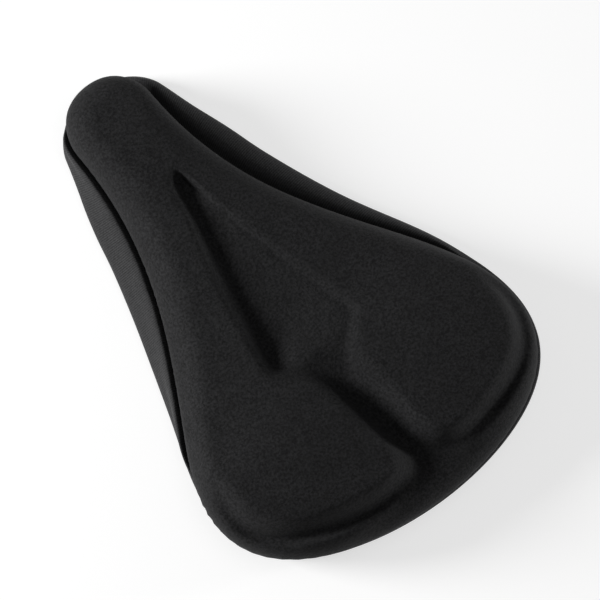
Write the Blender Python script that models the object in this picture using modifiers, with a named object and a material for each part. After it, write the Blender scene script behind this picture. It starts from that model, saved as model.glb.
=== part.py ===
"""Padded cover for a bicycle saddle, lying on its skirt as it would on a table.

The cover is a thick foam pad under a moulded face fabric, with a lining below it, a side skirt of
stretch knit sewn round the pad's edge and an elastic run in the skirt's hem. Lengths are in metres,
the nose points along +Y, and the origin is on the table under the middle of the pad.
"""

import math

import bpy
import numpy as np

# Pad outline
LENGTH = 0.274
WIDTH = 0.186
NOSE_WIDTH = 0.048
NOSE_LENGTH = 0.0235
WIDEST_FROM_REAR = 0.0565

# Pad heights above the table
TOP_HEIGHT = 0.036
LOBE_RISE = 0.0062
NOSE_DROP = 0.003
RIM_HEIGHT = 0.0295
RECESS_FLOOR = 0.028
EDGE_HEIGHT_FRONT = 0.0185
EDGE_HEIGHT_REAR = 0.0155
SEAM_HEIGHT_FRONT = 0.012
SEAM_HEIGHT_REAR = 0.008
LINING_HEIGHT = 0.0165

# Pad rounding
EDGE_ROUND_FRONT = 0.017
EDGE_ROUND_REAR = 0.011
SEAM_INSET_FRONT = 0.002
SEAM_INSET_REAR = 0.005
LOBE_WALL = 0.009
RIM_WIDTH = 0.012

# Central recess and the channel between the rear lobes
RECESS_LENGTH = 0.103
RECESS_WIDTH = 0.0515
RECESS_WALL = 0.0135
CHANNEL_WIDTH = 0.0125

# Cloth
FACE_THICKNESS = 0.001
LINING_THICKNESS = 0.0008
KNIT_THICKNESS = 0.0012
GAP = 0.0004

# Skirt and hem
SKIRT_FLARE = 0.0168
SKIRT_TUCK = 0.0008
FOLD_HEIGHT = 0.0055
SEAM_ALLOWANCE = 0.006
FLAT_BAND = 0.006
HEM_WIDTH = 0.012
HEM_HEIGHT = 0.0052
GATHER_LIFT = 0.002
ELASTIC_WIDTH = 0.006
ELASTIC_THICKNESS = 0.001

# Fineness
PAD_STATIONS = 36
SKIRT_STATIONS = 54
STATIONS_PER_GATHER = 3

HALF_LENGTH = LENGTH / 2
HALF_WIDTH = WIDTH / 2


def ease(value):
    """Smooth step from 0 to 1."""
    value = np.clip(value, 0, 1)
    return value * value * (3 - 2 * value)


def bezier(start, leave, arrive, end, count=60):
    t = np.linspace(0, 1, count)[:, None]
    s = 1 - t
    return s**3 * start + 3 * s**2 * t * leave + 3 * s * t**2 * arrive + t**3 * end


def joined(*curves):
    return np.vstack([curves[0]] + [curve[1:] for curve in curves[1:]])


def pad_outline():
    """Right half of the pad in plan, from the tip of the nose to the middle of the rear."""
    tip = np.array([0, HALF_LENGTH])
    nose = np.array([NOSE_WIDTH / 2, HALF_LENGTH - NOSE_LENGTH])
    widest = np.array([HALF_WIDTH, WIDEST_FROM_REAR - HALF_LENGTH])
    rear = np.array([0, -HALF_LENGTH])
    across = np.array([1.0, 0.0])
    along = np.array([0.0, 1.0])
    return joined(
        bezier(tip, tip + across * NOSE_WIDTH * 0.4, nose + along * NOSE_LENGTH * 0.3, nose),
        bezier(nose, nose - along * LENGTH * 0.37, widest + along * LENGTH * 0.18, widest),
        bezier(widest, widest - along * WIDEST_FROM_REAR * 0.72, rear + across * WIDTH * 0.225, rear),
    )


def recess_outline():
    """Right half of the recess, then of the channel behind it, at the middle of their walls."""
    front = np.array([0, 0.2445 * LENGTH])
    round_end = front + [RECESS_WIDTH * 0.13, -RECESS_LENGTH * 0.085]
    wide = np.array([RECESS_WIDTH / 2, front[1] - RECESS_LENGTH])
    neck = np.array([CHANNEL_WIDTH * 0.6, wide[1] - 0.108 * LENGTH])
    mouth = np.array([CHANNEL_WIDTH / 2, -0.365 * LENGTH])
    end = np.array([CHANNEL_WIDTH * 2, -0.449 * LENGTH])
    leave_front = front + [RECESS_WIDTH * 0.09, 0]
    reach_end = round_end + [-RECESS_WIDTH * 0.02, RECESS_LENGTH * 0.04]
    round_corner = wide + [RECESS_WIDTH * 0.06, -RECESS_LENGTH * 0.1]
    reach_neck = neck + [CHANNEL_WIDTH * 0.15, LENGTH * 0.06]
    along = np.array([0.0, 1.0])
    return joined(
        bezier(front, leave_front, reach_end, round_end, 20),
        bezier(round_end, round_end + (wide - round_end) / 3, wide - (wide - round_end) / 3, wide),
        bezier(wide, round_corner, reach_neck, neck, 30),
        bezier(neck, neck - along * LENGTH * 0.03, mouth + along * LENGTH * 0.04, mouth, 12),
        bezier(mouth, mouth - along * LENGTH * 0.05, end + [-CHANNEL_WIDTH * 1.1, LENGTH * 0.012], end, 20),
    )


PAD_OUTLINE = pad_outline()
RECESS_OUTLINE = recess_outline()


def distance_to(line, plan):
    """Distance from each plan point to the nearest point of a line."""
    start, step = line[:-1], np.diff(line, axis=0)
    away = plan[..., None, :] - start
    share = np.clip((away * step).sum(-1) / (step * step).sum(-1), 0, 1)
    return np.linalg.norm(away - share[..., None] * step, axis=-1).min(-1)


def stations(count):
    """Points of the pad outline from nose to rear, closer together at the nose and at the channel."""
    runs = np.linalg.norm(np.diff(PAD_OUTLINE, axis=0), axis=1)
    middle = (PAD_OUTLINE[1:] + PAD_OUTLINE[:-1]) / 2
    nose = middle[:, 1] > HALF_LENGTH - NOSE_LENGTH / 2
    channel = (middle[:, 1] < 0) & (middle[:, 0] < 2 * CHANNEL_WIDTH)
    weight = np.where(nose, 1.6, np.where(channel, 2.4, 1.0))
    travelled = np.concatenate([[0], np.cumsum(runs * weight)])
    wanted = np.linspace(0, travelled[-1], count + 1)
    plan = np.stack([np.interp(wanted, travelled, PAD_OUTLINE[:, axis]) for axis in (0, 1)], 1)
    plan[[0, -1], 0] = 0
    return plan


def spine(edge):
    """Point of the centre line that each outline point's section runs from."""
    y = edge[:, 1]
    share = np.abs(y) / HALF_LENGTH
    crossed = np.concatenate([[0], np.cumsum(np.abs(np.diff(edge[:, 0])))])
    ahead = y - 0.197 * HALF_LENGTH * share**3
    behind = y + 0.54 * HALF_LENGTH * share**2.2
    centre = np.where(y > 0, ahead, behind) - 0.12 * crossed
    return np.stack([np.zeros_like(y), centre], 1)


def rearness(y):
    """0 along the nose and waist, 1 round the rear."""
    return ease((-0.02 - y / LENGTH) / 0.3)


def between(front, rear, y):
    return front + (rear - front) * rearness(y)


def top_height(plan):
    """Height of the face fabric's outside over the pad, before its edge is rounded."""
    x, y = np.abs(plan[..., 0]), plan[..., 1]
    side = x / HALF_WIDTH
    lobe = np.exp(-(((side - 0.48) / 0.42) ** 2) - ((y / LENGTH + 0.285) / 0.175) ** 2)
    upper = TOP_HEIGHT + LOBE_RISE * lobe - NOSE_DROP * ease((y / LENGTH - 0.33) / 0.17)
    rim = RIM_WIDTH * (1 - 0.8 * side**1.1)
    climb = ease((distance_to(PAD_OUTLINE, np.stack([x, y], -1)) - rim) / LOBE_WALL)
    fading = ease((-0.2 - y / LENGTH) / 0.15)
    body = upper - (upper - RIM_HEIGHT) * fading * (1 - climb)
    half = np.interp(-y, -RECESS_OUTLINE[:, 1], RECESS_OUTLINE[:, 0])
    inside = (x < half) & (y < RECESS_OUTLINE[0, 1])
    away = distance_to(RECESS_OUTLINE, np.stack([x, y], -1)) * np.where(inside, -1, 1)
    sunk = ease(0.5 - away / RECESS_WALL)
    return body - np.maximum(body - RECESS_FLOOR, 0) * sunk


def placed(edge, inward, height):
    """Points on each station's section: inward is the way in from the outline, and out where negative."""
    toward = spine(edge) - edge
    toward /= np.linalg.norm(toward, axis=1)[:, None]
    plan = edge[:, None, :] + toward[:, None, :] * inward[..., None]
    plan[0, :, 0] = 0
    plan[-1, :, 0] = 0
    return np.concatenate([plan, height[..., None]], -1)


def reach_of(edge):
    return np.linalg.norm(spine(edge) - edge, axis=1)


def seam_of(edge):
    """How far in from the outline and how high the pad's seam runs at each station."""
    y = edge[:, 1]
    inset = between(SEAM_INSET_FRONT, SEAM_INSET_REAR, y)
    return inset, between(SEAM_HEIGHT_FRONT, SEAM_HEIGHT_REAR, y)


def face_points(edge):
    """Outside of the face fabric, from the centre line over the edge and under to the seam."""
    y = edge[:, 1]
    reach = reach_of(edge)
    rounding = between(EDGE_ROUND_FRONT, EDGE_ROUND_REAR, y)
    widest = between(EDGE_HEIGHT_FRONT, EDGE_HEIGHT_REAR, y)
    inset, seam = seam_of(edge)
    inward, roll = [], []
    for share in (0, 0.06, 0.12, 0.19, 0.27, 0.36, 0.46, 0.57, 0.68, 0.79, 0.9):
        inward.append(reach + (rounding - reach) * share)
        roll.append(1.0)
    for angle in (90, 60, 30, 0):
        inward.append(rounding * (1 - math.cos(math.radians(angle))))
        roll.append(math.sin(math.radians(angle)))
    inward = np.stack(inward, 1)
    top = top_height(placed(edge, inward, inward)[..., :2])
    height = widest[:, None] + (top - widest[:, None]) * np.array(roll)
    for angle in (45, 90):
        turn = math.radians(angle)
        inward = np.column_stack([inward, inset * (1 - math.cos(turn))])
        height = np.column_stack([height, widest - (widest - seam) * math.sin(turn)])
    inward[:, 0] = reach
    points = placed(edge, inward, height)
    points[:, 0, 0] = 0
    return points


def lining_height(edge, inward):
    """Underside of the lining, arched up from the seam to the centre line."""
    inset, seam = seam_of(edge)
    share = (inward - inset[:, None]) / (reach_of(edge) - inset)[:, None]
    return seam[:, None] + (LINING_HEIGHT - seam)[:, None] * (1 - (1 - share) ** 2)


def lining_points(edge, shares=(0, 0.3, 0.62, 1)):
    start = seam_of(edge)[0] + FACE_THICKNESS + 1.4 * GAP
    inward = start[:, None] + (reach_of(edge) - start)[:, None] * np.array(shares)
    points = placed(edge, inward, lining_height(edge, inward) + GAP / 2)
    points[:, -1, 0] = 0
    return points


def normals_of(points):
    """Outward direction at each point of a face grid, kept in the centre plane where the halves meet."""
    across = np.gradient(points, axis=1)
    along = np.gradient(points, axis=0)
    normal = np.cross(across, along)
    normal[0, :, 0] = 0
    normal[-1, :, 0] = 0
    normal[:, 0, 0] = 0
    normal[[0, -1], 0] = normal[[0, -1], 1]
    normal /= np.linalg.norm(normal, axis=-1)[..., None]
    return normal * np.sign(normal[0, 0, 2])


def foam_points(edge):
    """Foam, from the top of the centre line round the edge and back along its underside."""
    face = face_points(edge)
    top = (face - normals_of(face) * (FACE_THICKNESS + 1.5 * GAP))[:, :-1]
    under = lining_points(edge)
    under[..., 2] += LINING_THICKNESS + 2 * GAP
    return np.concatenate([top, under], 1)


def flare_of(edge):
    """How far the skirt stands out from the pad's outline; negative round the rear, where it is tucked in."""
    y = edge[:, 1] / LENGTH
    bulge = ease((0.51 - y) / 0.27) ** 0.6 * ease((y + 0.37) / 0.56)
    return (SKIRT_FLARE + SKIRT_TUCK) * bulge - SKIRT_TUCK


def hem_of(edge):
    """How far in from the outline the hem's edge runs: nearly closed under the nose, wide open behind it."""
    y = edge[:, 1] / LENGTH
    share = 0.5 + 0.42 * ease((y - 0.05) / 0.33)
    return reach_of(edge) * share


def gathers(edge):
    """Lift of the gathered hem at each station, dying away where the hem closes under the nose."""
    wave = np.cos(2 * math.pi * np.arange(len(edge)) / STATIONS_PER_GATHER)
    return GATHER_LIFT * (wave + 0.5) / 1.5 * ease((reach_of(edge) - hem_of(edge)) / 0.025)


def skirt_points(edge):
    """Outside of the skirt, from its seam allowance down and out, under along the table and round the hem."""
    inset, seam = seam_of(edge)
    flare, hem, lift = flare_of(edge), hem_of(edge), gathers(edge)
    top = seam - GAP
    turn_in, turn_down = inset - 0.0012, top - 0.0008
    allowance = inset + SEAM_ALLOWANCE
    allowance_height = top + (lining_height(edge, allowance[:, None])[:, 0] - seam) * 0.6
    rows = [
        (allowance, allowance_height),
        (inset + GAP, top),
        (turn_in, turn_down),
        (turn_in + (-flare - turn_in) * 0.42, turn_down + (FOLD_HEIGHT - turn_down) * 0.55),
        (-flare, np.full_like(seam, FOLD_HEIGHT)),
        (0.0012 - flare, np.full_like(seam, 0.34 * FOLD_HEIGHT)),
        (0.0045 - flare, np.zeros_like(seam)),
        (0.0045 - flare + FLAT_BAND, np.zeros_like(seam)),
        (hem - HEM_WIDTH * 0.96, lift * 0.6),
        (hem - HEM_HEIGHT / 3, lift),
        (hem, lift + HEM_HEIGHT / 2),
        (hem - HEM_HEIGHT / 3, lift + HEM_HEIGHT),
        (hem - HEM_WIDTH * 0.8, lift + HEM_HEIGHT - 0.0002),
        (hem - HEM_WIDTH, lift * 0.6 + 2 * KNIT_THICKNESS + GAP),
    ]
    inward = np.stack([row[0] for row in rows], 1)
    height = np.stack([row[1] for row in rows], 1)
    return placed(edge, inward, height)


def elastic_points(edge):
    """Underside of the elastic, lying in the hem."""
    hem, lift = hem_of(edge), gathers(edge)
    outer = hem - HEM_HEIGHT / 3 - KNIT_THICKNESS - ELASTIC_WIDTH
    inward = np.stack([outer, outer + ELASTIC_WIDTH], 1)
    run = HEM_WIDTH * 0.96 - HEM_HEIGHT / 3
    share = (inward - (hem - HEM_WIDTH * 0.96)[:, None]) / run
    height = KNIT_THICKNESS + 2 * GAP + lift[:, None] * (0.6 + 0.4 * share)
    return placed(edge, inward, height)


def clear_scene():
    for item in list(bpy.data.objects):
        bpy.data.objects.remove(item, do_unlink=True)


def material(name, colour, roughness, sheen=0.0):
    made = bpy.data.materials.new(name)
    made.use_nodes = True
    shader = made.node_tree.nodes["Principled BSDF"]
    shader.inputs["Base Color"].default_value = (*colour, 1)
    shader.inputs["Roughness"].default_value = roughness
    shader.inputs["Sheen Weight"].default_value = sheen
    return made


def lofted(name, points, cloth, collection):
    """The right half as a grid of points by station and row, mirrored into the whole piece."""
    rows, columns = points.shape[:2]
    spots = [tuple(map(float, point)) for point in points.reshape(-1, 3)]
    faces = []
    for i in range(rows - 1):
        for j in range(columns - 1):
            a, b = i * columns + j, i * columns + j + 1
            c, d = b + columns, a + columns
            pair = [(a, c, b), (a, d, c)]
            if any(all(spots[k][0] == 0 for k in face) for face in pair):
                pair = [(a, d, b), (b, d, c)]
            faces += pair
    mesh = bpy.data.meshes.new(name)
    mesh.from_pydata(spots, [], faces)
    mesh.materials.append(cloth)
    made = bpy.data.objects.new(name, mesh)
    collection.objects.link(made)
    mirror = made.modifiers.new("other half", "MIRROR")
    mirror.use_axis = (True, False, False)
    mirror.merge_threshold = 0.00005
    return made


def thickened(made, thickness, even):
    cloth = made.modifiers.new("thickness", "SOLIDIFY")
    cloth.thickness = thickness
    cloth.offset = -1
    cloth.use_even_offset = even


def build():
    clear_scene()
    collection = bpy.data.collections.new("bicycle_saddle_cover")
    bpy.context.scene.collection.children.link(collection)
    brushed = material("brushed_knit_black", (0.012, 0.012, 0.013), 0.95, 0.3)
    ribbed = material("stretch_knit_black", (0.016, 0.016, 0.017), 0.9, 0.2)
    foam = material("pu_foam_grey", (0.16, 0.16, 0.165), 0.95)
    lining = material("lining_cloth_black", (0.02, 0.02, 0.021), 0.9)
    rubber = material("braided_elastic_black", (0.03, 0.03, 0.03), 0.8)

    edge = stations(PAD_STATIONS)
    fine_edge = stations(SKIRT_STATIONS)
    face = lofted("face_fabric", face_points(edge), brushed, collection)
    thickened(face, FACE_THICKNESS, True)
    lofted("foam_pad", foam_points(edge), foam, collection)
    base = lofted("base_lining", lining_points(edge), lining, collection)
    thickened(base, LINING_THICKNESS, True)
    skirt = lofted("side_skirt", skirt_points(fine_edge), ribbed, collection)
    thickened(skirt, KNIT_THICKNESS, False)
    hem = lofted("hem_elastic", elastic_points(fine_edge), rubber, collection)
    thickened(hem, ELASTIC_THICKNESS, False)


build()
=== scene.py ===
# %% [markdown]
# A padded cover for a bicycle saddle, lying on a white table. It is soft goods all through: a thick
# moulded foam pad under a brushed black face fabric, a thin lining below, a skirt of stretch knit sewn
# round the edge, and an elastic run in the skirt's hem. The CAD gives the plain forms. Here each of
# them is made again as cloth or foam, finer and with seams, gathers, stitches and nap.

# %% Load the frame
import math

import bmesh
import bpy
import numpy as np
from mathutils import Matrix, Vector
from mathutils.bvhtree import BVHTree


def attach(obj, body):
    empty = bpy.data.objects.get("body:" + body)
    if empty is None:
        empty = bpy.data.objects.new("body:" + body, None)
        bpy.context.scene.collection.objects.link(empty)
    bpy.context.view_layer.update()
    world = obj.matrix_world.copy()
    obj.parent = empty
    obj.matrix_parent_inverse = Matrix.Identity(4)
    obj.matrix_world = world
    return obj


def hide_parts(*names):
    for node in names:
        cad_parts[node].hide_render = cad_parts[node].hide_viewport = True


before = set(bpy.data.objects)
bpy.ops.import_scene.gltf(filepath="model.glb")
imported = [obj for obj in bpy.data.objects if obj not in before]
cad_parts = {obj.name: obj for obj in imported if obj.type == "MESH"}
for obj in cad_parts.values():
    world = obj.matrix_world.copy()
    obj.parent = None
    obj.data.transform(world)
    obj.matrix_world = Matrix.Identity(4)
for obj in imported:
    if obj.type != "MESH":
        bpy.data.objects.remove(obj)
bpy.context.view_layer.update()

MM = 0.001
bpy.context.scene.view_settings.view_transform = "Standard"

# %% [markdown]
# The camera stands high over the cover, which points away to the upper right. Product photographs are
# taken from well back with a long lens, so near and far parts keep nearly the same scale. The camera
# is turned from three angles here, because a roll of a few degrees is hard to give by a target alone.
# The point that it looks at, inside the cover, shows a little beside the picture's middle.

# %% Camera
IMAGE_WIDTH, SENSOR_WIDTH = 600, 36
PIXELS_PER_MM = 2.038
CAMERA_DISTANCE = 1.5
AZIMUTH, ELEVATION, ROLL = (math.radians(angle) for angle in (-44.33, 73.04, 3.285))
LOOKED_AT, SEEN_AT_PIXEL = Vector((0, 0, 0.020)), (260.9, 288.2)
look = Vector((
    -math.sin(AZIMUTH) * math.cos(ELEVATION),
    math.cos(AZIMUTH) * math.cos(ELEVATION),
    -math.sin(ELEVATION),
))
level = Vector((math.cos(AZIMUTH), math.sin(AZIMUTH), 0))
upward = level.cross(look)
right = level * math.cos(ROLL) + upward * math.sin(ROLL)
up = upward * math.cos(ROLL) - level * math.sin(ROLL)
camera_data = bpy.data.cameras.new("camera")
camera = bpy.data.objects.new("camera", camera_data)
bpy.context.scene.collection.objects.link(camera)
bpy.context.scene.camera = camera
camera_data.sensor_width = SENSOR_WIDTH
camera_data.lens = SENSOR_WIDTH * PIXELS_PER_MM / MM * CAMERA_DISTANCE / IMAGE_WIDTH
camera_data.clip_start = 0.05
aside = right * (IMAGE_WIDTH / 2 - SEEN_AT_PIXEL[0]) - up * (IMAGE_WIDTH / 2 - SEEN_AT_PIXEL[1])
aside = aside * MM / PIXELS_PER_MM
turn = Matrix((right, up, -look)).transposed().to_4x4()
camera.matrix_world = Matrix.Translation(LOOKED_AT - look * CAMERA_DISTANCE + aside) @ turn
print("lens, mm:", round(camera_data.lens, 1))

# %% [markdown]
# One small function adds a node, sets it and links it, and colours are written as on screen, as sRGB
# hex, and turned to the linear values that shaders work in. A new material starts from its
# Principled shader. Most of the cloths then need the same two things, a colour that follows a pattern
# and small relief from the same pattern.

# %% Helpers for materials
def colour(code):
    """Linear colour of an sRGB hex code."""
    parts = [int(code[i:i + 2], 16) / 255 for i in (1, 3, 5)]
    return [p / 12.92 if p <= 0.04045 else ((p + 0.055) / 1.055) ** 2.4 for p in parts] + [1.0]


def add(tree, kind, inputs=None, **settings):
    """Adds a node. inputs gives its sockets values, or other nodes' outputs to link them to."""
    made = tree.nodes.new("ShaderNode" + kind)
    for name, value in settings.items():
        setattr(made, name, value)
    for name, value in (inputs or {}).items():
        if isinstance(value, bpy.types.NodeSocket):
            tree.links.new(value, made.inputs[name])
        else:
            made.inputs[name].default_value = value
    return made


def new_material(name, roughness, **constants):
    """A material, its node tree and its shader, with the values that are the same all over."""
    made = bpy.data.materials.new(name)
    made.use_nodes = True
    shader = made.node_tree.nodes["Principled BSDF"]
    shader.inputs["Roughness"].default_value = roughness
    for socket, value in constants.items():
        shader.inputs[socket.replace("_", " ")].default_value = value
    return made, made.node_tree, shader


def per_mm(size):
    """Scale of a texture whose grains are this many millimetres across, on coordinates in metres."""
    return 1 / (size * MM)


def shaded(tree, shader, pattern, low, high, start=0.0, end=1.0):
    """Colours the shader between two hex codes, as a pattern goes from start to end."""
    made = add(tree, "ValToRGB", {"Fac": pattern})
    ends = made.color_ramp.elements
    ends[0].position, ends[1].position = start, end
    ends[0].color, ends[1].color = colour(low), colour(high)
    tree.links.new(made.outputs["Color"], shader.inputs["Base Color"])
    return made.outputs["Color"]


def embossed(tree, shader, pattern, strength, depth):
    """Gives the shader small relief from a pattern, this many millimetres deep."""
    relief = add(tree, "Bump", {"Height": pattern, "Strength": strength, "Distance": depth * MM})
    tree.links.new(relief.outputs["Normal"], shader.inputs["Normal"])


def either(tree, first, second):
    """Output that is 1 where one of two others is 1."""
    return add(tree, "Math", {0: first, 1: second}, operation="MAXIMUM").outputs[0]


# %% [markdown]
# The table is plain matt white paper. The photograph's background is burnt out to white except for a
# faint shadow to the right, so what the camera sees of the floor is part its own glow and part the
# light that falls on it: full light reads as white, and the shadow still takes some of it away. The
# cover itself is lit by plain white paper, with no glow.

# %% Floor
SEEN_GLOW, SEEN_PAPER = 0.62, 0.5
bpy.ops.object.select_all(action="DESELECT")
bpy.ops.mesh.primitive_plane_add(size=8, location=(0, 0, -0.0002))
floor = bpy.context.active_object
floor.name = "floor"
paper = bpy.data.materials.new("matt_white_paper")
paper.use_nodes = True
tree = paper.node_tree
tree.nodes.remove(tree.nodes["Principled BSDF"])
path = add(tree, "LightPath").outputs
seen = either(tree, either(tree, path["Is Camera Ray"], path["Is Glossy Ray"]), path["Is Transmission Ray"])
sheet_white = add(tree, "BsdfDiffuse", {"Color": colour("#F0F0EF")})
seen_white = add(tree, "BsdfDiffuse", {"Color": (SEEN_PAPER, SEEN_PAPER, SEEN_PAPER, 1)})
glow = add(tree, "Emission", {"Strength": SEEN_GLOW})
both = add(tree, "AddShader", {0: seen_white.outputs[0], 1: glow.outputs[0]})
mix = add(tree, "MixShader", {0: seen, 1: sheet_white.outputs[0], 2: both.outputs[0]})
tree.links.new(mix.outputs[0], tree.nodes["Material Output"].inputs["Surface"])
floor.data.materials.append(paper)
print("floor at", round(floor.location.z / MM, 2), "mm")

# %% [markdown]
# The light is a soft box on the left of the picture, at about 20 degrees, a weaker one low on the
# right, a faint one overhead, and a dim white room. Black cloth shows its form only by this difference
# of side and top. The room looks white to the camera. Powers are in watts, and ROOM is a strength.

# %% Light
def soft_box(name, toward, distance, size, power):
    """A round area lamp of a given size, standing in a direction from the cover and facing it."""
    data = bpy.data.lights.new(name, "AREA")
    data.shape = "DISK"
    data.size = size
    data.energy = power
    lamp = bpy.data.objects.new(name, data)
    bpy.context.scene.collection.objects.link(lamp)
    lamp.location = toward.normalized() * distance
    lamp.rotation_euler = (-toward).to_track_quat("-Z", "Y").to_euler()


KEY_POWER, FILL_POWER, TOP_POWER, ROOM = 34, 15, 4, 0.13
soft_box("key_soft_box", Vector((-right.x, -right.y, 0.38)), 1.6, 0.6, KEY_POWER)
from_right = right + 0.2 * up
soft_box("low_fill", Vector((from_right.x, from_right.y, 0.1)), 1.6, 0.3, FILL_POWER)
soft_box("top_soft_box", Vector((0.1, -0.1, 1)), 1.8, 1.2, TOP_POWER)
world = bpy.data.worlds.new("white_room")
bpy.context.scene.world = world
world.use_nodes = True
tree = world.node_tree
path = add(tree, "LightPath").outputs
seen = either(tree, path["Is Camera Ray"], path["Is Transmission Ray"])
strength = add(tree, "MapRange", {"Value": seen, "To Min": ROOM, "To Max": 1.0})
tree.nodes["Background"].inputs["Color"].default_value = (1, 1, 1, 1)
tree.links.new(strength.outputs[0], tree.nodes["Background"].inputs["Strength"])
print("key power, W:", KEY_POWER)

# %% [markdown]
# The cover's own lengths come next, in metres, as in the CAD. The pad is an outline of three smooth
# curves, with heights that depend on the place in plan: two raised lobes behind, a lower rim round the
# rear, and a tapered recess that runs back into a channel between the lobes. Working from the same few
# curves keeps every cloth at its right distance from the others. Only the crease behind the lobes and
# the deeper channel are this script's own.

# %% Lengths and curves of the pad
LENGTH, WIDTH, NOSE_WIDTH, NOSE_LENGTH, WIDEST_FROM_REAR = 0.274, 0.186, 0.048, 0.0235, 0.0565
TOP_HEIGHT, LOBE_RISE, NOSE_DROP, RIM_HEIGHT, RECESS_FLOOR = 0.036, 0.0062, 0.003, 0.0295, 0.028
EDGE_HEIGHT_FRONT, EDGE_HEIGHT_REAR, SEAM_HEIGHT_FRONT, SEAM_HEIGHT_REAR = 0.0185, 0.0155, 0.012, 0.008
LINING_HEIGHT, EDGE_ROUND_FRONT, EDGE_ROUND_REAR = 0.0165, 0.017, 0.011
SEAM_INSET_FRONT, SEAM_INSET_REAR, LOBE_WALL, RIM_WIDTH = 0.002, 0.005, 0.009, 0.012
RECESS_LENGTH, RECESS_WIDTH, RECESS_WALL, CHANNEL_WIDTH = 0.103, 0.0515, 0.0135, 0.0125
FACE_THICKNESS, LINING_THICKNESS, KNIT_THICKNESS, GAP = 0.001, 0.0008, 0.0012, 0.0004
SKIRT_FLARE, SKIRT_TUCK, FOLD_HEIGHT, SEAM_ALLOWANCE, FLAT_BAND = 0.0168, 0.0008, 0.0055, 0.006, 0.006
HEM_WIDTH, HEM_HEIGHT, GATHER_LIFT = 0.012, 0.0052, 0.002
CREASE_DEPTH, CREASE_WIDTH, CHANNEL_EXTRA = 0.005, 0.0034, 0.003
ELASTIC_WIDTH, ELASTIC_THICKNESS = 0.006, 0.001
GATHERS_PER_SIDE = 18
HALF_LENGTH, HALF_WIDTH = LENGTH / 2, WIDTH / 2


def ease(value):
    """Smooth step from 0 to 1."""
    value = np.clip(value, 0, 1)
    return value * value * (3 - 2 * value)


def bezier(start, leave, arrive, end, count=160):
    """Points of a cubic curve that starts towards leave and arrives from arrive."""
    t = np.linspace(0, 1, count)[:, None]
    s = 1 - t
    return s**3 * start + 3 * s**2 * t * leave + 3 * s * t**2 * arrive + t**3 * end


def joined(*curves):
    """One line of curves that meet end to end."""
    return np.vstack([curves[0]] + [curve[1:] for curve in curves[1:]])


def pad_outline():
    """Right half of the pad in plan, from the tip of the nose to the middle of the rear."""
    tip, rear = np.array([0, HALF_LENGTH]), np.array([0, -HALF_LENGTH])
    nose = np.array([NOSE_WIDTH / 2, HALF_LENGTH - NOSE_LENGTH])
    widest = np.array([HALF_WIDTH, WIDEST_FROM_REAR - HALF_LENGTH])
    across, along = np.array([1.0, 0.0]), np.array([0.0, 1.0])
    return joined(
        bezier(tip, tip + across * NOSE_WIDTH * 0.4, nose + along * NOSE_LENGTH * 0.3, nose),
        bezier(nose, nose - along * LENGTH * 0.37, widest + along * LENGTH * 0.18, widest),
        bezier(widest, widest - along * WIDEST_FROM_REAR * 0.72, rear + across * WIDTH * 0.225, rear),
    )


def recess_outline():
    """Right half of the recess, then of the channel, at the middle of their walls, and out past the rim."""
    front = np.array([0, 0.2445 * LENGTH])
    round_end = front + [RECESS_WIDTH * 0.13, -RECESS_LENGTH * 0.085]
    wide = np.array([RECESS_WIDTH / 2, front[1] - RECESS_LENGTH])
    neck = np.array([CHANNEL_WIDTH * 0.6, wide[1] - 0.108 * LENGTH])
    mouth = np.array([CHANNEL_WIDTH / 2, -0.365 * LENGTH])
    end = np.array([CHANNEL_WIDTH * 2, -0.449 * LENGTH])
    past_rim = end + [CHANNEL_WIDTH * 2.6, -LENGTH * 0.03]
    leave_front = front + [RECESS_WIDTH * 0.09, 0]
    third = (wide - round_end) / 3
    reach_end = round_end + [-RECESS_WIDTH * 0.02, RECESS_LENGTH * 0.04]
    round_corner = wide + [RECESS_WIDTH * 0.06, -RECESS_LENGTH * 0.1]
    reach_neck = neck + [CHANNEL_WIDTH * 0.15, LENGTH * 0.06]
    reach_rim = end + [-CHANNEL_WIDTH * 1.1, LENGTH * 0.012]
    along = np.array([0.0, 1.0])
    return joined(
        bezier(front, leave_front, reach_end, round_end, 20),
        bezier(round_end, round_end + third, wide - third, wide, 50),
        bezier(wide, round_corner, reach_neck, neck, 30),
        bezier(neck, neck - along * LENGTH * 0.03, mouth + along * LENGTH * 0.04, mouth, 12),
        bezier(mouth, mouth - along * LENGTH * 0.05, reach_rim, end, 20),
        np.array([end, past_rim]),
    )


PAD_OUTLINE, RECESS_OUTLINE = pad_outline(), recess_outline()
half_round = np.linalg.norm(np.diff(PAD_OUTLINE, axis=0), axis=1).sum()
print("half way round the pad, mm:", round(half_round / MM, 1))

# %% [markdown]
# Each cloth is a grid of points: stations round the outline, and rows across the cloth. A station's
# section runs from the outline towards a spine point on the centre line. The stations sit closer
# together round the nose and at the channel, where the shape turns fastest.

# %% Sections of the pad
def distance_to(line, plan):
    """Distance from each plan point to the nearest point of a line."""
    start, step = line[:-1], np.diff(line, axis=0)
    away = plan[..., None, :] - start
    share = np.clip((away * step).sum(-1) / (step * step).sum(-1), 0, 1)
    return np.linalg.norm(away - share[..., None] * step, axis=-1).min(-1)


NOSE_CROWDING, CHANNEL_CROWDING = 1.6, 2.4
NOSE_DRAW, REAR_DRAW, STATION_DRAW = 0.197, 0.54, 0.12
LOBE_MIDDLE, LOBE_SPREAD = (0.48, -0.285), (0.42, 0.175)


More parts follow.
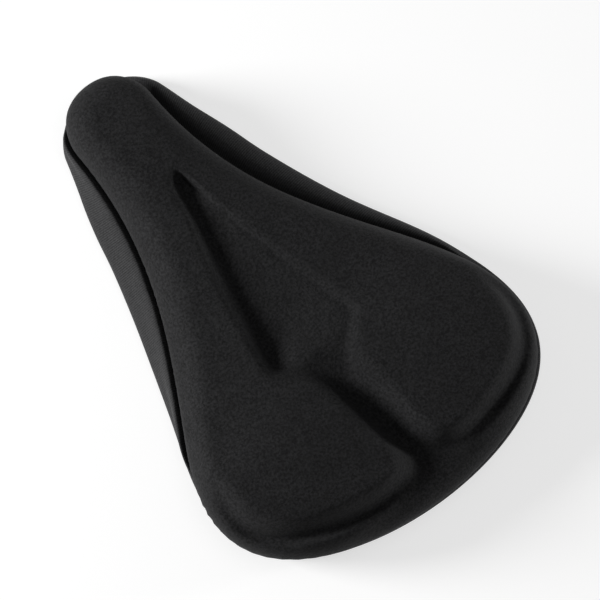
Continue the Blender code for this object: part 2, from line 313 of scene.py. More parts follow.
def stations(count):
    """Points of the outline from nose to rear, count steps apart in all."""
    runs = np.linalg.norm(np.diff(PAD_OUTLINE, axis=0), axis=1)
    middle = (PAD_OUTLINE[1:] + PAD_OUTLINE[:-1]) / 2
    nose = middle[:, 1] > HALF_LENGTH - NOSE_LENGTH / 2
    channel = (middle[:, 1] < 0) & (middle[:, 0] < 2 * CHANNEL_WIDTH)
    weight = np.where(nose, NOSE_CROWDING, np.where(channel, CHANNEL_CROWDING, 1.0))
    travelled = np.concatenate([[0], np.cumsum(runs * weight)])
    wanted = np.linspace(0, travelled[-1], count + 1)
    plan = np.stack([np.interp(wanted, travelled, PAD_OUTLINE[:, axis]) for axis in (0, 1)], 1)
    plan[[0, -1], 0] = 0
    return plan


def spine(edge):
    """Point of the centre line that each outline point's section runs to, drawn in from both ends."""
    y = edge[:, 1]
    share = np.abs(y) / HALF_LENGTH
    crossed = np.concatenate([[0], np.cumsum(np.abs(np.diff(edge[:, 0])))])
    ahead = y - NOSE_DRAW * HALF_LENGTH * share**3
    behind = y + REAR_DRAW * HALF_LENGTH * share**2.2
    centre = np.where(y > 0, ahead, behind) - STATION_DRAW * crossed
    return np.stack([np.zeros_like(y), centre], 1)


def placed(edge, inward, height):
    """Points on each station's section: inward is the way in from the outline, and out where negative."""
    toward = spine(edge) - edge
    toward /= np.linalg.norm(toward, axis=1)[:, None]
    plan = edge[:, None, :] + toward[:, None, :] * inward[..., None]
    plan[[0, -1], :, 0] = 0
    return np.concatenate([plan, height[..., None]], -1)


def reach_of(edge):
    """How far each station's spine point is from the outline."""
    return np.linalg.norm(spine(edge) - edge, axis=1)


def between(front, rear, y):
    """A value that goes from one at the waist to another round the rear."""
    return front + (rear - front) * ease((-0.02 - y / LENGTH) / 0.3)


def seam_of(edge):
    """How far in from the outline and how high the pad's seam runs at each station."""
    y = edge[:, 1]
    return between(SEAM_INSET_FRONT, SEAM_INSET_REAR, y), between(SEAM_HEIGHT_FRONT, SEAM_HEIGHT_REAR, y)


def body_height(plan, filled=False):
    """Height of the face fabric's outside over the pad, without the recess.

    The rim round the rear is a step below the lobes, with a crease at the step's foot that deepens to
    the sides. Rim and crease fade out towards the waist. filled is for a shallower crease."""
    x, y = np.abs(plan[..., 0]), plan[..., 1]
    side, along = x / HALF_WIDTH, y / LENGTH
    lobe_across = (side - LOBE_MIDDLE[0]) / LOBE_SPREAD[0]
    lobe_along = (along - LOBE_MIDDLE[1]) / LOBE_SPREAD[1]
    lobe = np.exp(-(lobe_across**2) - lobe_along**2)
    upper = TOP_HEIGHT + LOBE_RISE * lobe - NOSE_DROP * ease((along - 0.33) / 0.17)
    rim = RIM_WIDTH * (1 - 0.8 * side**1.1)
    from_rim = distance_to(PAD_OUTLINE[::4], np.stack([x, y], -1)) - rim
    climb = 0.3 + 0.7 * ease(from_rim / LOBE_WALL / 1.3)
    fading = ease((-0.2 - along) / 0.15)
    crease = np.exp(-(((from_rim - LOBE_WALL * 0.38) / CREASE_WIDTH) ** 2))
    crease *= CREASE_DEPTH * (1 + 0.6 * side) * (0.3 + 0.7 * ease(side / 0.3)) * (0.65 if filled else 1)
    return upper - (upper - RIM_HEIGHT) * fading * (1 - climb) - crease * fading


def recess_depth(plan):
    """How deep the recess's floor lies below the body at each point. It is deeper in the channel."""
    behind = -plan[..., 1]
    extra = CHANNEL_EXTRA * ease((behind - 0.07) / 0.03) * (1 - 0.8 * ease((behind - 0.112) / 0.014))
    floor_height = RECESS_FLOOR - extra
    return np.maximum(body_height(plan) - floor_height, 0)


def sunk(plan, wall):
    """Share of that depth at each point, for walls of a given width: 1 on the recess's floor, 0 outside."""
    x, y = np.abs(plan[..., 0]), plan[..., 1]
    half = np.interp(-y, -RECESS_OUTLINE[:, 1], RECESS_OUTLINE[:, 0])
    inside = (x < half) & (y < RECESS_OUTLINE[0, 1])
    away = distance_to(RECESS_OUTLINE, np.stack([x, y], -1)) * np.where(inside, -1, 1)
    return ease(0.5 - away / wall)


def top_height(plan):
    """Height of the face fabric's outside over the pad, before its edge is rounded."""
    return body_height(plan) - recess_depth(plan) * sunk(plan, RECESS_WALL)


lobe_top = top_height(np.array(LOBE_MIDDLE) * (HALF_WIDTH, LENGTH))
print("height of a lobe at its middle, mm:", round(float(lobe_top) / MM, 1))

# %% [markdown]
# A soft cover never lies quite straight. Seen from above this one curves a little to its right, its
# rear is turned by a degree, and the skirt has slid a few millimetres to the right under the pad. One
# function moves every point of every piece by that lie, so that nothing comes apart. Small ripples are
# sums of waves that fit a whole number of times round the cover, so they close on themselves and are
# the same on every run.

# %% The lie of the cloth, and its ripples
BEND, REAR_BEND, WAIST_SHIFT, TWIST, SLIDE = 0.00268, 0.003, 0.0012, 0.02, 0.0022


def lie(points, slid=0.0):
    """Points moved as the cover lies. slid is 0 on the pad and 1 on the table.

    share goes from -1 at the rear to 1 at the nose. The skirt slides furthest behind the waist."""
    moved = points.copy()
    share = points[..., 1] / HALF_LENGTH
    bent = BEND * (share**2 - 0.3) + REAR_BEND * np.minimum(share, 0) ** 4
    back = WAIST_SHIFT * ease((-share - 0.1) / 0.3) * ease((share + 1.05) / 0.35)
    further = 1.2 + 0.7 * ease((0.15 - share) / 0.45) + 0.3 * ease((share - 0.65) / 0.2)
    moved[..., 0] += bent - back + SLIDE * further * slid
    moved[..., 1] -= TWIST * ease((-share - 0.2) / 0.5) * points[..., 0]
    return moved


def ripples(turn, count, spread, seed):
    """Uneven waves round the cover, about count of them, from -1 to 1. turn goes from -0.5 to 0.5."""
    random = np.random.default_rng(seed)
    total = np.zeros_like(turn)
    numbers = np.unique(np.linspace(count - spread, count + spread, 9).round().astype(int))
    for number in numbers:
        total += np.cos(2 * math.pi * (number * turn + random.uniform()))
    return total / math.sqrt(len(numbers) * 2)


def unevenness(points, size, seed, waves=10):
    """Smooth lumps of about this size in plan, from -1 to 1, such as soft foam has."""
    random = np.random.default_rng(seed)
    total = np.zeros(points.shape[:-1])
    for _ in range(waves):
        angle, phase = random.uniform(0, 2 * math.pi), random.uniform(0, 2 * math.pi)
        way = np.array([math.cos(angle), math.sin(angle)]) * math.pi * random.uniform(0.7, 1.4) / size
        total += np.cos(points[..., 0] * way[0] + points[..., 1] * way[1] + phase)
    return total / math.sqrt(waves * 2)


# %% [markdown]
# A grid of points becomes a cloth mesh in one way for all pieces: the right half and its mirror image
# are made, each gets its own ripples, and they are welded where they meet on the centre line. Each
# face corner keeps its distance round the cover and across the cloth as a UV, in metres, so ribs and
# weave can follow the cloth. Nothing goes below the table. Solidify then gives the cloth its thickness
# on its inner side.

# %% From a grid to a cloth
def cloth(name, half, slid=0.0, ruffle=None, left=None, settle=None):
    """Mesh object of both halves of a grid.

    slid is each row's share of the skirt's slide. ruffle(points, turn) gives how far each point moves
    out, and settle(points) gives how it moves as the cloth settles. left is the left half's own grid,
    where that isn't the mirror image, and slid is then a pair for right and left."""
    count, rows = half.shape[:2]
    measured = half[:, rows // 2 if rows >= 30 else -1, :2]
    runs = np.linalg.norm(np.diff(measured, axis=0), axis=1)
    travel = np.concatenate([[0], np.cumsum(runs)])
    steps = np.linalg.norm(np.diff(half, axis=1), axis=2)
    down = np.concatenate([np.zeros((count, 1)), np.cumsum(steps, axis=1)], 1)
    spots, places, flats = [], [], []
    for side in (1, -1):
        grid = left if side < 0 and left is not None else half
        points = grid * (side, 1, 1) + 0.0  # adding 0.0 turns -0.0 into 0.0
        spots.append(points.reshape(-1, 3))
        turn = side * (travel / travel[-1] / 2)[:, None] * np.ones((1, rows))
        moved = points
        if ruffle is not None:
            moved = points + normals_of(points) * ruffle(points, turn)[..., None]
        if settle is not None:
            moved = moved + settle(points)
        moved[..., 2] = np.maximum(moved[..., 2], 0)
        places.append(lie(moved, slid if left is None else slid[side < 0]).reshape(-1, 3))
        round_cover = np.broadcast_to(side * travel[:, None], down.shape)
        flats.append(np.stack([round_cover, down], -1).reshape(-1, 2))
    spots, places, flats = (np.concatenate(item) for item in (spots, places, flats))
    a = (np.arange(count - 1)[:, None] * rows + np.arange(rows - 1)).reshape(-1)
    quads = np.stack([a, a + rows, a + rows + 1, a + 1], 1)
    corners = np.concatenate([quads, quads[:, ::-1] + count * rows])
    _, first, index = np.unique(np.round(spots, 7), axis=0, return_index=True, return_inverse=True)
    mesh = bpy.data.meshes.new(name)
    mesh.from_pydata(places[first].tolist(), [], index.reshape(-1)[corners].tolist())
    mesh.uv_layers.new(name="cloth").data.foreach_set("uv", flats[corners].reshape(-1))
    mesh.update()
    made = bpy.data.objects.new(name, mesh)
    bpy.context.scene.collection.objects.link(made)
    return made


def normals_of(points):
    """Outward direction at each point of a grid, kept in the centre plane where the halves meet."""
    across, along = np.gradient(points, axis=1), np.gradient(points, axis=0)
    normal = np.cross(across, along)
    normal[[0, -1], :, 0] = 0
    normal[np.abs(points[..., 0]) < 1e-9, 0] = 0
    normal[[0, -1], 0] = normal[[0, -1], 1]
    normal /= np.maximum(np.linalg.norm(normal, axis=-1), 1e-12)[..., None]
    return normal * (1 if points[..., 0].sum() < 0 else -1)


def finished(made, thickness, piece_material, even=True):
    """Applies the cloth's thickness, smooths its shading and gives it its material."""
    bpy.ops.object.select_all(action="DESELECT")
    made.select_set(True)
    bpy.context.view_layer.objects.active = made
    if thickness:
        made.modifiers.new("thickness", "SOLIDIFY")
        made.modifiers["thickness"].thickness = thickness
        made.modifiers["thickness"].offset = -1
        made.modifiers["thickness"].use_even_offset = even
        bpy.ops.object.modifier_apply(modifier="thickness")
    bpy.ops.object.shade_smooth()
    made.data.materials.append(piece_material)
    print(made.name, "has", len(made.data.polygons), "faces")
    return made


# %% [markdown]
# The face is a brushed polyester knit: its surface is raised into a short nap, so it looks like matt
# black suede with a soft glow where the light grazes it. The glow is the shader's sheen. The nap's
# speckle and the small lumps of its bump are about a millimetre, coarser than the real fibres, which
# would be too fine to show.

# %% Brushed polyester knit
brushed, tree, shader = new_material(
    "brushed_polyester_knit_black", 0.92, Sheen_Weight=0.08, Sheen_Roughness=0.35, Specular_IOR_Level=0.25
)
shader.inputs["Sheen Tint"].default_value = colour("#C8C8CA")
spot = add(tree, "TexCoord").outputs["Object"]
nap = add(tree, "TexNoise", {"Vector": spot, "Scale": per_mm(1.3), "Detail": 3.0, "Roughness": 0.7})
patch = add(tree, "TexNoise", {"Vector": spot, "Scale": per_mm(14), "Detail": 2.0})
speckle = shaded(tree, shader, nap.outputs["Fac"], "#0A0A0B", "#252526", 0.37, 0.66)
limits = {"From Min": 0.3, "From Max": 0.7, "To Min": 0.86, "To Max": 1.14}
worn = add(tree, "MapRange", {"Value": patch.outputs["Fac"], **limits}).outputs["Result"]
tinted = add(tree, "VectorMath", {0: speckle, 1: worn}, operation="MULTIPLY")
tree.links.new(tinted.outputs[0], shader.inputs["Base Color"])
embossed(tree, shader, nap.outputs["Fac"], 0.7, 0.4)
print(brushed.name)

# %% [markdown]
# The face fabric itself is one moulded sheet that wraps the pad and curls under its edge to the seam.
# It is a grid of sections whose rows crowd together round the rolled edge. The seam pulls small
# puckers into the edge, strongest on the left of the waist, and the foam below is a little uneven.
#
# Soft foam keeps no even mould lines. The photograph shows the recess dark and steep along its left
# wall, while its floor rises to the right until the right wall is only a faint line, and a low step
# parts it from the channel. The settling is written as that: a lift of the floor, steeper walls, a
# pull to the right, and a slight drop of both arms beside it.

# %% Face fabric
FACE_STATIONS = 230


def face_points(edge, shares, angles, curls):
    """Outside of the face fabric, from the centre line over the edge and under to the seam."""
    y = edge[:, 1]
    reach = reach_of(edge)
    rounding = between(EDGE_ROUND_FRONT, EDGE_ROUND_REAR, y)
    widest = between(EDGE_HEIGHT_FRONT, EDGE_HEIGHT_REAR, y)
    inset, seam = seam_of(edge)
    inward = [reach + (rounding - reach) * share for share in shares]
    roll = [1.0] * len(shares)
    for angle in np.radians(angles):
        inward.append(rounding * (1 - math.cos(angle)))
        roll.append(math.sin(angle))
    inward = np.stack(inward, 1)
    top = top_height(placed(edge, inward, inward)[..., :2])
    height = widest[:, None] + (top - widest[:, None]) * np.array(roll)
    for turn in np.radians(curls):
        inward = np.column_stack([inward, inset * (1 - math.cos(turn))])
        height = np.column_stack([height, widest - (widest - seam) * math.sin(turn)])
    inward[:, 0] = reach
    points = placed(edge, inward, height)
    points[:, 0, 0] = 0
    return points


def face_ruffle(points, turn):
    """Foam lumps over the top, and puckers that the seam pulls into the edge."""
    edge_near = ease((0.026 - points[..., 2]) / 0.014)
    left = np.exp(-(((turn + 0.28) / 0.09) ** 2))
    pucker = ripples(turn, 118, 22, 5) * edge_near * (0.00012 + 0.00018 * left)
    return unevenness(points, 0.034, 3) * 0.00018 * (1 - edge_near) + pucker


TIP_AT, FOOT_AT, CHANNEL_AT = 0.067, -0.036, -0.08
LEFT_ARM_DROP, RIGHT_ARM_DROP = 0.0034, 0.002


def along_recess(y, rear, soft_rear, front, soft_front):
    """Weight that is 1 beside the recess and fades out at both ends, each over its own distance."""
    return ease((y - rear) / soft_rear) * ease((front - y) / soft_front)


def floor_lift(share, y):
    """Part of its depth the recess's floor has risen by. share is -1 at the left wall, 1 at the right."""
    rightward = np.clip((share + 0.8) / 1.8, 0, 1)
    lift = 0.02 + 0.76 * rightward * ease((TIP_AT - 0.001 - y) / 0.02)
    step_before_channel = ease((-y - 0.028 + 0.017 * rightward) / (0.02 + 0.014 * rightward))
    lift += (0.8 - lift) * step_before_channel
    return lift * ease((y + 0.087 - 0.012 * (1 - rightward)) / 0.042)


def recess_settling(points):
    """How far each point of the face or the foam moves as the soft recess settles."""
    x, y, plan = points[..., 0], points[..., 1], points[..., :2]
    on_top, above_edge = (ease((points[..., 2] - 0.02) / soft) for soft in (0.004, 0.012))
    half = np.interp(y, [CHANNEL_AT, FOOT_AT, TIP_AT], [0.008, RECESS_WIDTH / 2, 0.0055])
    share = x / half
    steeper = 0.28 + 0.26 * ease((share + 0.4) / 0.8)
    wall = RECESS_WALL * (1 - ease((y + 0.07) / 0.03) * steeper)
    as_moulded = sunk(plan, RECESS_WALL)
    rise = recess_depth(plan) * (as_moulded - (1 - floor_lift(share, y)) * sunk(plan, wall))
    crease_filling = body_height(plan, filled=True) - body_height(plan)
    rise += crease_filling * ease(x / 0.02) * (1 - as_moulded)
    right_arm = ease((x + 0.012) / 0.03) * along_recess(y, -0.07, 0.04, 0.1, 0.05)
    left_arm = np.clip((-x - half - 0.006) / 0.03, 0, 1) * along_recess(y, -0.075, 0.04, 0.1, 0.05)
    rise -= (RIGHT_ARM_DROP * right_arm + LEFT_ARM_DROP * left_arm) * above_edge
    pull = (0.0006 + 0.005 * ease((y + 0.005) / 0.06)) * along_recess(y, -0.07, 0.03, 0.1, 0.03)
    pull *= ease((x + half + 0.014) / 0.012) * ease((half + 0.004 - x) / (half + 0.006))
    return np.stack([pull * on_top, np.zeros_like(x), rise * on_top], -1)


SHARES = np.linspace(0, 0.965, 54)
ANGLES = np.linspace(90, 0, 14)
CURLS = np.linspace(0, 90, 7)[1:]
edge = stations(FACE_STATIONS)
face_grid = face_points(edge, SHARES, ANGLES, CURLS)
face = finished(
    cloth("moulded_face", face_grid, ruffle=face_ruffle, settle=recess_settling), FACE_THICKNESS, brushed
)
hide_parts("face_fabric")
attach(face, "root")

# %% [markdown]
# Under the face is the pad, moulded from soft polyurethane foam. It is hidden all round by the cloths,
# so it is a plain closed form a little inside the face, with the open cells of foam in its bump. It
# stands on the face's own stations and settles with it, so that it shows through nowhere. A section of
# the real one would show pores of about half a millimetre.

# %% Foam
foam_material, tree, shader = new_material("open_cell_polyurethane_foam_grey", 0.95)
spot = add(tree, "TexCoord").outputs["Object"]
cells = add(tree, "TexVoronoi", {"Vector": spot, "Scale": per_mm(0.8)})
shaded(tree, shader, cells.outputs["Distance"], "#565658", "#7E7E80")
embossed(tree, shader, cells.outputs["Distance"], 0.6, 0.3)


def lining_height(edge, inward):
    """Underside of the lining, arched up from the seam to the centre line."""
    inset, seam = seam_of(edge)
    share = (inward - inset[:, None]) / (reach_of(edge) - inset)[:, None]
    return seam[:, None] + (LINING_HEIGHT - seam)[:, None] * (1 - (1 - share) ** 2)


def lining_points(edge, shares):
    """Underside of the lining, from just inside the turned-under face to the centre line."""
    start = seam_of(edge)[0] + FACE_THICKNESS + 1.4 * GAP
    inward = start[:, None] + (reach_of(edge) - start)[:, None] * np.array(shares)
    points = placed(edge, inward, lining_height(edge, inward) + GAP / 2)
    points[:, -1, 0] = 0
    return points


outside = face_points(edge, SHARES, np.linspace(90, 0, 7), [45, 90])
foam_top = (outside - normals_of(outside) * (FACE_THICKNESS + 1.5 * GAP))[:, :-1]
foam_under = lining_points(edge, np.linspace(0, 1, 12))
foam_under[..., 2] += LINING_THICKNESS + 2 * GAP
foam_grid = np.concatenate([foam_top, foam_under], 1)
foam = finished(cloth("foam_core", foam_grid, settle=recess_settling), 0, foam_material)
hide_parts("foam_pad")
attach(foam, "root")

# %% [markdown]
# The lining is a thin warp knit on the underside of the pad. A close hexagonal pattern of tiny loops
# gives its bump. It wrinkles slightly where it is sewn to the edge.

# %% Lining
lining_material, tree, shader = new_material("warp_knit_lining_black", 0.85, Sheen_Weight=0.15)
flat = add(tree, "TexCoord").outputs["Object"]
loops = add(tree, "TexVoronoi", {"Vector": flat, "Scale": per_mm(1.3)}, feature="DISTANCE_TO_EDGE")
shaded(tree, shader, loops.outputs["Distance"], "#161618", "#2A2A2C", end=0.3)
embossed(tree, shader, loops.outputs["Distance"], 0.4, 0.3)


def lining_ruffle(points, turn):
    """Shallow wrinkles that run in from the seam."""
    across = np.linspace(0, 1, points.shape[1])
    return ripples(turn, 46, 12, 8) * 0.00022 * ease(across / 0.1) * ease((1 - across) / 0.7)


lining_grid = lining_points(stations(160), np.linspace(0, 1, 36))
lining = finished(
    cloth("lining_cloth", lining_grid, ruffle=lining_ruffle), LINING_THICKNESS, lining_material
)
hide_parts("base_lining")
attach(lining, "root")

# %% [markdown]
# Small dots of silicone are printed on the lining in staggered rows, so that it grips the saddle. One
# dot is a flattened ball, sunk by half into the cloth. Its copies stand on the lining wherever a look
# upward from below finds it, well inside the seam.

# %% Anti-slip dots
DOT_WIDTH, DOT_HEIGHT, DOT_PITCH, DOT_MARGIN = 0.0028, 0.001, 0.0095, 0.014
silicone, tree, shader = new_material("printed_silicone_black", 0.42, Specular_IOR_Level=0.5)
spot = add(tree, "TexCoord").outputs["Object"]
skin = add(tree, "TexNoise", {"Vector": spot, "Scale": per_mm(2.0), "Detail": 2.0})
shaded(tree, shader, skin.outputs["Fac"], "#1B1B1C", "#29292A")


def joined_copies(name, original, places, piece_material):
    """One object of many copies of a small shape, each moved by its own matrix. The original goes."""
    copies = []
    for place in places:
        own = original.data.copy()
        own.transform(place)
        copies.append(bpy.data.objects.new(name, own))
        bpy.context.scene.collection.objects.link(copies[-1])
    bpy.data.objects.remove(original)
    bpy.ops.object.select_all(action="DESELECT")
    for copied in copies:
        copied.select_set(True)
    bpy.context.view_layer.objects.active = copies[0]
    bpy.ops.object.join()
    made = bpy.context.active_object
    made.name = name
    bpy.ops.object.shade_smooth()
    made.data.materials.append(piece_material)
    print(name, "copies:", len(places))
    return made


def underside(piece):
    """Function that looks straight up from below at a plan point and gives what it meets first."""
    found = BVHTree.FromPolygons(
        [point.co for point in piece.data.vertices], [side.vertices for side in piece.data.polygons]
    )
    return lambda x, y: found.ray_cast(Vector((x, y, -0.01)), Vector((0, 0, 1)))[:2]


bpy.ops.object.select_all(action="DESELECT")
bpy.ops.mesh.primitive_uv_sphere_add(segments=10, ring_count=6, radius=DOT_WIDTH / 2)
dot = bpy.context.active_object
bpy.ops.object.mode_set(mode="EDIT")
bpy.ops.mesh.select_all(action="SELECT")
bpy.ops.transform.resize(value=(1, 1, DOT_HEIGHT / DOT_WIDTH))
bpy.ops.object.mode_set(mode="OBJECT")
look_up = underside(lining)
places = []
for row, y in enumerate(np.arange(-HALF_LENGTH, HALF_LENGTH, DOT_PITCH * math.sqrt(3) / 2)):
    for x in np.arange(-HALF_WIDTH, HALF_WIDTH, DOT_PITCH) + DOT_PITCH / 2 * (row % 2):
        met, normal = look_up(x, y)
        if met and distance_to(PAD_OUTLINE, np.array([abs(x), y])) > DOT_MARGIN:
            tilt = Vector((0, 0, -1)).rotation_difference(normal).to_matrix().to_4x4()
            places.append(Matrix.Translation(met) @ tilt)
dots = joined_copies("anti_slip_dots", dot, places, silicone)
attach(dots, "root")

# %% [markdown]
# The skirt is one strip of stretch knit. Its top edge is sewn into the pad's seam, it falls outward to
# a soft fold on the table, runs in flat under the pad, and ends in a hem that the elastic gathers. The
# strip's section is a short list of points, and cutting its corners twice (Chaikin's way) turns them
# into a smooth fold that never overshoots into its neighbours. The gathers lift the hem in waves that
# die out towards the fold.
#
# The cover has slid on its skirt, so the skirt stands out differently on its two sides. On the right it
# drops from the seam into a trough beside the pad and swells again before the fold. On the left it is
# drawn flat from high on the seam, with only a thin dark line between. Round the rear it is tucked in
# and has neither.

# %% Shape of the skirt
SKIRT_STATIONS = 330


def flare_of(edge):
    """How far the skirt stands out from the pad's outline: below 0 round the rear, where it tucks in."""
    y = edge[:, 1] / LENGTH
    bulge = ease((0.51 - y) / 0.27) ** 0.6 * ease((y + 0.37) / 0.56)
    return (SKIRT_FLARE + SKIRT_TUCK) * bulge - SKIRT_TUCK + 0.0012 * ease((y - 0.33) / 0.1)


def flared_of(edge):
    """Weight that is 1 where the skirt stands out from the pad, and 0 where it is tucked in."""
    return ease((flare_of(edge) - 0.001) / 0.006)


def hem_of(edge):
    """How far in from the outline the hem's edge runs: nearly closed under the nose, wide open behind."""
    share = 0.5 + 0.42 * ease((edge[:, 1] / LENGTH - 0.05) / 0.33)
    return reach_of(edge) * share


def gathers(edge):
    """Lift of the gathered hem at each station, dying away where the hem closes under the nose."""
    wave = np.cos(2 * math.pi * GATHERS_PER_SIDE * np.linspace(0, 1, len(edge)))
    return GATHER_LIFT * (wave + 0.5) / 1.5 * ease((reach_of(edge) - hem_of(edge)) / 0.025)


TROUGH_HEIGHT, SWELL_HEIGHT, FOLD_SETBACK = 0.003, 0.0104, 0.0045


def skirt_sections(edge, side):
    """How far in and how high the skirt's outside runs, row by row, on the right (1) or the left (-1)."""
    inset, seam = seam_of(edge)
    flare, hem, lift = flare_of(edge), hem_of(edge), gathers(edge)
    top = seam - GAP
    turn_in, turn_down = inset - 0.0012, top - 0.0008
    allowance = inset + SEAM_ALLOWANCE
    allowance_height = top + (lining_height(edge, allowance[:, None])[:, 0] - seam) * 0.6
    tucked_in = [turn_in - share * flare for share in (0, 0.2, 0.4, 0.6, 0.8)]
    tucked_up = [turn_down + (FOLD_HEIGHT - turn_down) * share for share in (0.15, 0.3, 0.45, 0.7, 0.85)]
    if side > 0:
        lying_in = [turn_in + 0.0024, turn_in + 0.0006, -0.12 * flare, -0.3 * flare, -0.75 * flare]
        lying_up = [turn_down - 0.002, TROUGH_HEIGHT, TROUGH_HEIGHT, SWELL_HEIGHT, SWELL_HEIGHT - 0.001]
    else:
        lying_in = [inset - 0.001, -0.0003, -0.0016, -0.0034, -0.6 * flare]
        drawn_down = seam + (FOLD_HEIGHT - seam) * 0.4
        lying_up = [top - 0.0006, top - 0.0004, seam + 0.0014, seam + 0.0018, drawn_down]
    out = flared_of(edge)
    middle = [
        (plain + (lying - plain) * out, plain_up + (lying_high - plain_up) * out)
        for plain, plain_up, lying, lying_high in zip(tucked_in, tucked_up, lying_in, lying_up)
    ]
    flat_start = FOLD_SETBACK - flare
    flat_end, hem_start = flat_start + FLAT_BAND, hem - HEM_WIDTH * 0.96
    rows = [
        (allowance, allowance_height),
        (inset + GAP, top),
        *middle,
        (-flare - 0.0006, np.full_like(seam, FOLD_HEIGHT)),
        (0.0006 - flare, np.full_like(seam, 0.22 * FOLD_HEIGHT)),
        (flat_start, np.zeros_like(seam)),
        (flat_end, np.zeros_like(seam)),
        ((hem_start + flat_end) / 2, lift * 0.22),
        (hem_start, lift * 0.6),
        (hem - HEM_HEIGHT / 3, lift),
        (hem, lift + HEM_HEIGHT / 2),
        (hem - HEM_HEIGHT / 3, lift + HEM_HEIGHT),
        (hem - HEM_WIDTH * 0.8, lift + HEM_HEIGHT - 0.0002),
        (hem - HEM_WIDTH, lift * 0.6 + 2 * KNIT_THICKNESS + GAP),
    ]
    return np.stack([row[0] for row in rows], 1), np.stack([row[1] for row in rows], 1)


def rounded(values, times=2):
    """Chaikin's corner cutting along the rows, with both ends kept."""
    for _ in range(times):
        near = values[:, :-1] * 0.75 + values[:, 1:] * 0.25
        far = values[:, :-1] * 0.25 + values[:, 1:] * 0.75
        cut = np.stack([near, far], 2).reshape(len(values), -1)
        values = np.concatenate([values[:, :1], cut[:, 1:-1], values[:, -1:]], 1)
    return values


skirt_edge = stations(SKIRT_STATIONS)
skirt_grid, skirt_left = (
    placed(skirt_edge, *(rounded(values) for values in skirt_sections(skirt_edge, side)))
    for side in (1, -1)
)
skirt_left[[0, -1]] = skirt_grid[[0, -1]]  # the halves meet at the nose and at the rear
print("rows across the skirt:", skirt_grid.shape[1])

# %% [markdown]
# Stretch knit for such a skirt is a fine rib of polyester and elastane. Its ribs run across the strip,
# down from the seam, about a millimetre apart, and the cloth is matt with a little more shine than
# the brushed face. The ribs follow the cloth through its UV, and a fine speckle breaks them up.

# %% Ribbed stretch knit
ribbed, tree, shader = new_material(
    "ribbed_polyester_elastane_knit_black", 0.85,
    Sheen_Weight=0.15, Sheen_Roughness=0.35, Specular_IOR_Level=0.3,
)
along = add(tree, "UVMap", uv_map="cloth").outputs["UV"]
parts = add(tree, "SeparateXYZ", {"Vector": along})
wave = add(tree, "Math", {0: parts.outputs["X"], 1: 2 * math.pi * per_mm(1.15)}, operation="MULTIPLY")
rib = add(tree, "Math", {0: wave.outputs[0]}, operation="SINE")
spot = add(tree, "TexCoord").outputs["Object"]
fuzz = add(tree, "TexNoise", {"Vector": spot, "Scale": per_mm(1.0), "Detail": 3.0})
height = add(tree, "Math", {0: rib.outputs[0], 1: 0.22, 2: fuzz.outputs["Fac"]}, operation="MULTIPLY_ADD")
shaded(tree, shader, height.outputs[0], "#1B1B1C", "#363637", 0.2, 0.8)
embossed(tree, shader, height.outputs[0], 0.5, 0.3)
print(ribbed.name)

# %% [markdown]
# The slide begins at the seam and is complete on the table. Where the skirt stands out on the left it
# begins later down the strip, so that the cloth high on the seam stays beside the pad.

# %% Skirt
row_share = np.linspace(0, 1, skirt_grid.shape[1])
early, late = ease((row_share - 0.1) / 0.16), ease((row_share - 0.29) / 0.12)
slid = [early, early + (late - early) * flared_of(skirt_edge)[:, None]]


def skirt_ruffle(points, turn):
    """Puckers under the seam, soft waves on the band outside, and creases between the hem's gathers."""
    seam_side = ease((row_share - 0.06) / 0.05) * ease((0.34 - row_share) / 0.2)
    hem_side = ease((row_share - 0.5) / 0.15) * ease((0.8 - row_share) / 0.1)
    pucker = ripples(turn, 120, 40, 11) * 0.00014 + ripples(turn, 31, 14, 12) * 0.0003
    crease = ripples(turn, 62, 20, 13) * 0.0005
    return pucker * seam_side + crease * hem_side


skirt = finished(
    cloth("ribbed_skirt", skirt_grid, slid, skirt_ruffle, left=skirt_left),
    KNIT_THICKNESS, ribbed, even=False,
)
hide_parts("side_skirt")
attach(skirt, "root")

# %% [markdown]
# The elastic in the hem is a narrow braid of polyester over rubber. The hem hides it. It is a closed
# ring in the hem's tunnel and lifts with the gathers.

# %% Elastic
braid, tree, shader = new_material("braided_polyester_elastic_black", 0.6, Specular_IOR_Level=0.4)
along = add(tree, "UVMap", uv_map="cloth").outputs["UV"]
cords = add(tree, "TexVoronoi", {"Vector": along, "Scale": per_mm(0.9)}, voronoi_dimensions="2D")
shaded(tree, shader, cords.outputs["Distance"], "#38383A", "#202022")


def elastic_points(edge):
    """Underside of the elastic, lying in the hem."""
    hem, lift = hem_of(edge), gathers(edge)
    outer = hem - HEM_HEIGHT / 3 - KNIT_THICKNESS - ELASTIC_WIDTH
    inward = outer[:, None] + ELASTIC_WIDTH * np.array([0, 0.33, 0.67, 1])
    run = HEM_WIDTH * 0.96 - HEM_HEIGHT / 3
    share = (inward - (hem - HEM_WIDTH * 0.96)[:, None]) / run
    height = KNIT_THICKNESS + 2 * GAP + lift[:, None] * (0.6 + 0.4 * share)
    return placed(edge, inward, height)


elastic_grid = elastic_points(stations(220))
elastic = finished(cloth("hem_braid", elastic_grid, 1.0), ELASTIC_THICKNESS, braid, even=False)
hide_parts("hem_elastic")
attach(elastic, "root")

# %% [markdown]
# A row of lockstitches holds the hem shut under the elastic's tunnel, three to the centimetre. One
# stitch is a short length of thread with pinched ends. It is modelled once, and its copies follow the
# hem all the way round, sunk by half into the cloth that they are found on by looking up from below.

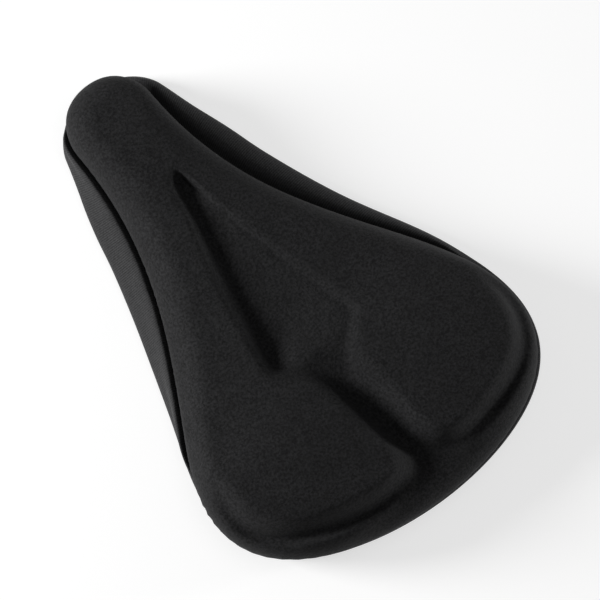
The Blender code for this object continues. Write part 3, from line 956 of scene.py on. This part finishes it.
# %% Hem stitches
STITCH_LENGTH, STITCH_PITCH, THREAD, PINCHED = 0.0024, 0.0033, 0.0005, 0.45
thread, tree, shader = new_material("spun_polyester_thread_black", 0.7, Specular_IOR_Level=0.35)
spot = add(tree, "TexCoord").outputs["Object"]
slow = {"Vector": spot, "Scale": per_mm(16), "Distortion": 1.0}
dye = add(tree, "TexWave", slow, bands_direction="DIAGONAL")
shaded(tree, shader, dye.outputs["Fac"], "#1C1C1D", "#303031")

bpy.ops.object.select_all(action="DESELECT")
along_x = (0, math.pi / 2, 0)
bpy.ops.mesh.primitive_cylinder_add(vertices=6, radius=THREAD / 2, depth=STITCH_LENGTH, rotation=along_x)
stitch = bpy.context.active_object
bpy.ops.object.transform_apply(location=False, rotation=True, scale=False)
bpy.ops.object.mode_set(mode="EDIT")
for end in (-1, 1):
    bpy.ops.mesh.select_all(action="DESELECT")
    shape = bmesh.from_edit_mesh(stitch.data)
    for cap in shape.faces:
        cap.select = cap.normal.x * end > 0.9
    bmesh.update_edit_mesh(stitch.data)
    bpy.ops.mesh.extrude_region_move(TRANSFORM_OT_translate={"value": (end * THREAD / 2, 0, 0)})
    bpy.ops.transform.resize(value=(1, PINCHED, PINCHED))
bpy.ops.object.mode_set(mode="OBJECT")

sewn = (hem_of(skirt_edge) - HEM_WIDTH * 0.6)[:, None]
right_half = placed(skirt_edge, sewn, np.zeros_like(sewn))[:, 0]
left_half = (right_half * (-1, 1, 1))[-2:0:-1]
around = lie(np.concatenate([right_half, left_half, right_half[:1]]), 1.0)
travelled = np.concatenate([[0], np.cumsum(np.linalg.norm(np.diff(around, axis=0), axis=1))])
whole = travelled[-1]
look_up = underside(skirt)
places = []
for start in np.linspace(0, whole, round(whole / STITCH_PITCH), endpoint=False):
    here, ahead = (
        Vector([np.interp(way % whole, travelled, around[:, axis]) for axis in (0, 1)] + [0])
        for way in (start, start + STITCH_PITCH / 2)
    )
    met = look_up(here.x, here.y)[0]
    if met:
        met.z = max(met.z, THREAD * 0.55)
        turn = Vector((1, 0, 0)).rotation_difference(ahead - here).to_matrix().to_4x4()
        places.append(Matrix.Translation(met) @ turn)
stitches = joined_copies("hem_stitches", stitch, places, thread)
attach(stitches, "root")

# %% [markdown]
# Last, the script prints a message that all its pieces are made.

# %% End
print("all pieces made")
